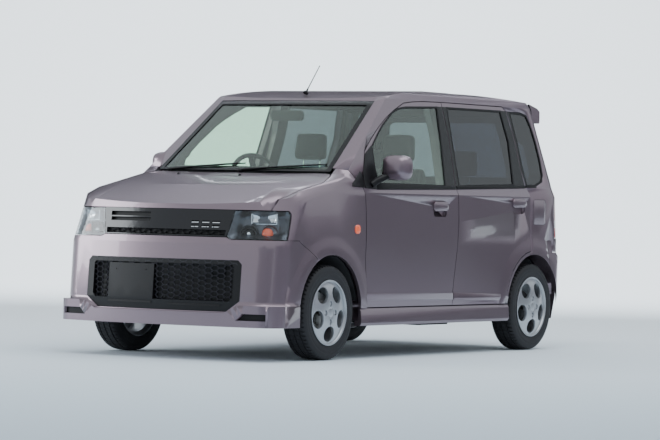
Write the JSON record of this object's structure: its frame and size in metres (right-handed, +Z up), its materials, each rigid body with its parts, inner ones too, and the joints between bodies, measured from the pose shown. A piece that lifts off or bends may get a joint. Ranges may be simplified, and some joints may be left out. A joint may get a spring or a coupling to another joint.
{
  "type": "kei car",
  "caption": "Small five-door hatchback car with hinged doors, hood and tailgate, steered front wheels, glazed cabin with seats, honeycomb lower grille and roof-edge spoiler.",
  "frame": {"origin": "on the ground, midway along the length and on the centre line", "axes": "+X forward, +Y to the car's left, +Z up"},
  "size_m": [3.3975, 1.78, 1.6933],
  "materials": {
    "paint": "satin metallic",
    "steel": "satin",
    "black_plastic": "matte",
    "gloss_black": "gloss",
    "trim": "matte",
    "glass": "clear green tint",
    "privacy_glass": "dark tint",
    "lens": "clear",
    "red_lens": "gloss",
    "seat_cloth": "woven",
    "alloy": "satin",
    "tyre": "matte",
    "cast": "satin",
    "exhaust_steel": "satin"
  },
  "bodies": {
    "body": {"antenna": "black_plastic", "cabin_mirror": "black_plastic", "cowl_panel": "black_plastic", "dashboard": "trim", "engine": "cast", "exhaust": "exhaust_steel", "front_bumper": "paint", "front_fenders": "paint", "front_seat_left": "seat_cloth", "front_seat_right": "seat_cloth", "front_suspension": "steel", "fuel_tank": "steel", "grille_mesh": "gloss_black", "headlamp_housings": "gloss_black", "headlamp_lenses": "lens", "lower_grille": "gloss_black", "quarter_glass": "privacy_glass", "radiator": "black_plastic", "rear_axle": "steel", "rear_bumper": "paint", "rear_seat": "seat_cloth", "roof": "paint", "seat_bases": "trim", "side_frame_left": "paint", "side_frame_right": "paint", "sill_skirts": "paint", "tail_lamps": "red_lens", "underbody": "steel", "upper_grille": "gloss_black", "windscreen": "glass", "wipers": "black_plastic"},
    "hood": {"hood": "paint"},
    "tailgate": {"tailgate": "paint", "tailgate_glass": "privacy_glass"},
    "steering_wheel": {"steering_wheel": "black_plastic"},
    "front_door_left": {"front_door_left": "paint", "front_door_glass_left": "glass", "door_mirror_left": "paint"},
    "rear_door_left": {"rear_door_left": "paint", "rear_door_glass_left": "privacy_glass"},
    "front_hub_left": {"knuckle_left": "cast"},
    "front_wheel_left": {"rim_front_left": "alloy", "tyre_front_left": "tyre"},
    "rear_wheel_left": {"rim_rear_left": "alloy", "tyre_rear_left": "tyre"},
    "front_door_right": {"front_door_right": "paint", "front_door_glass_right": "glass", "door_mirror_right": "paint"},
    "rear_door_right": {"rear_door_right": "paint", "rear_door_glass_right": "privacy_glass"},
    "front_hub_right": {"knuckle_right": "cast"},
    "front_wheel_right": {"rim_front_right": "alloy", "tyre_front_right": "tyre"},
    "rear_wheel_right": {"rim_rear_right": "alloy", "tyre_rear_right": "tyre"}
  },
  "joints": [
    {"name": "steer_left", "type": "hinge", "parent": "body", "child": "front_hub_left", "pos_m": [1.041, 0.602, 0.185], "axis": [0, -0.2149, 0.9766], "range_deg": [-35, 35]},
    {"name": "front_wheel_left_spin", "type": "hinge", "parent": "front_hub_left", "child": "front_wheel_left", "pos_m": [1.041, 0.6475, 0.266], "axis": [0, 1, 0], "continuous": true},
    {"name": "rear_wheel_left_spin", "type": "hinge", "parent": "body", "child": "rear_wheel_left", "pos_m": [-1.299, 0.6475, 0.266], "axis": [0, 1, 0], "continuous": true},
    {"name": "front_door_left_hinge", "type": "hinge", "parent": "body", "child": "front_door_left", "pos_m": [0.715, 0.706, 0.56], "axis": [0, 0, -1], "range_deg": [0, 65]},
    {"name": "rear_door_left_hinge", "type": "hinge", "parent": "body", "child": "rear_door_left", "pos_m": [-0.288, 0.706, 0.43], "axis": [0.1118, 0, -0.9937], "range_deg": [0, 65]},
    {"name": "steer_right", "type": "hinge", "parent": "body", "child": "front_hub_right", "pos_m": [1.041, -0.602, 0.185], "axis": [0, 0.2149, 0.9766], "range_deg": [-35, 35]},
    {"name": "front_wheel_right_spin", "type": "hinge", "parent": "front_hub_right", "child": "front_wheel_right", "pos_m": [1.041, -0.6475, 0.266], "axis": [0, 1, 0], "continuous": true},
    {"name": "rear_wheel_right_spin", "type": "hinge", "parent": "body", "child": "rear_wheel_right", "pos_m": [-1.299, -0.6475, 0.266], "axis": [0, 1, 0], "continuous": true},
    {"name": "front_door_right_hinge", "type": "hinge", "parent": "body", "child": "front_door_right", "pos_m": [0.715, -0.706, 0.56], "axis": [0, 0, 1], "range_deg": [0, 65]},
    {"name": "rear_door_right_hinge", "type": "hinge", "parent": "body", "child": "rear_door_right", "pos_m": [-0.288, -0.706, 0.43], "axis": [-0.1118, 0, 0.9937], "range_deg": [0, 65]},
    {"name": "hood_hinge", "type": "hinge", "parent": "body", "child": "hood", "pos_m": [0.838, 0, 1.028], "axis": [0, -1, 0], "range_deg": [0, 50]},
    {"name": "tailgate_hinge", "type": "hinge", "parent": "body", "child": "tailgate", "pos_m": [-1.4455, 0, 1.507], "axis": [0, 1, 0], "range_deg": [0, 85]},
    {"name": "steering_wheel_turn", "type": "hinge", "parent": "body", "child": "steering_wheel", "pos_m": [0.206, -0.33, 0.988], "axis": [-0.9238, 0, 0.3829], "range_deg": [-525, 525]}
  ],
  "couplings": [
    {"joint": "steer_right", "follows": "steer_left", "ratio": 1},
    {"joint": "steering_wheel_turn", "follows": "steer_left", "ratio": 15}
  ]
}
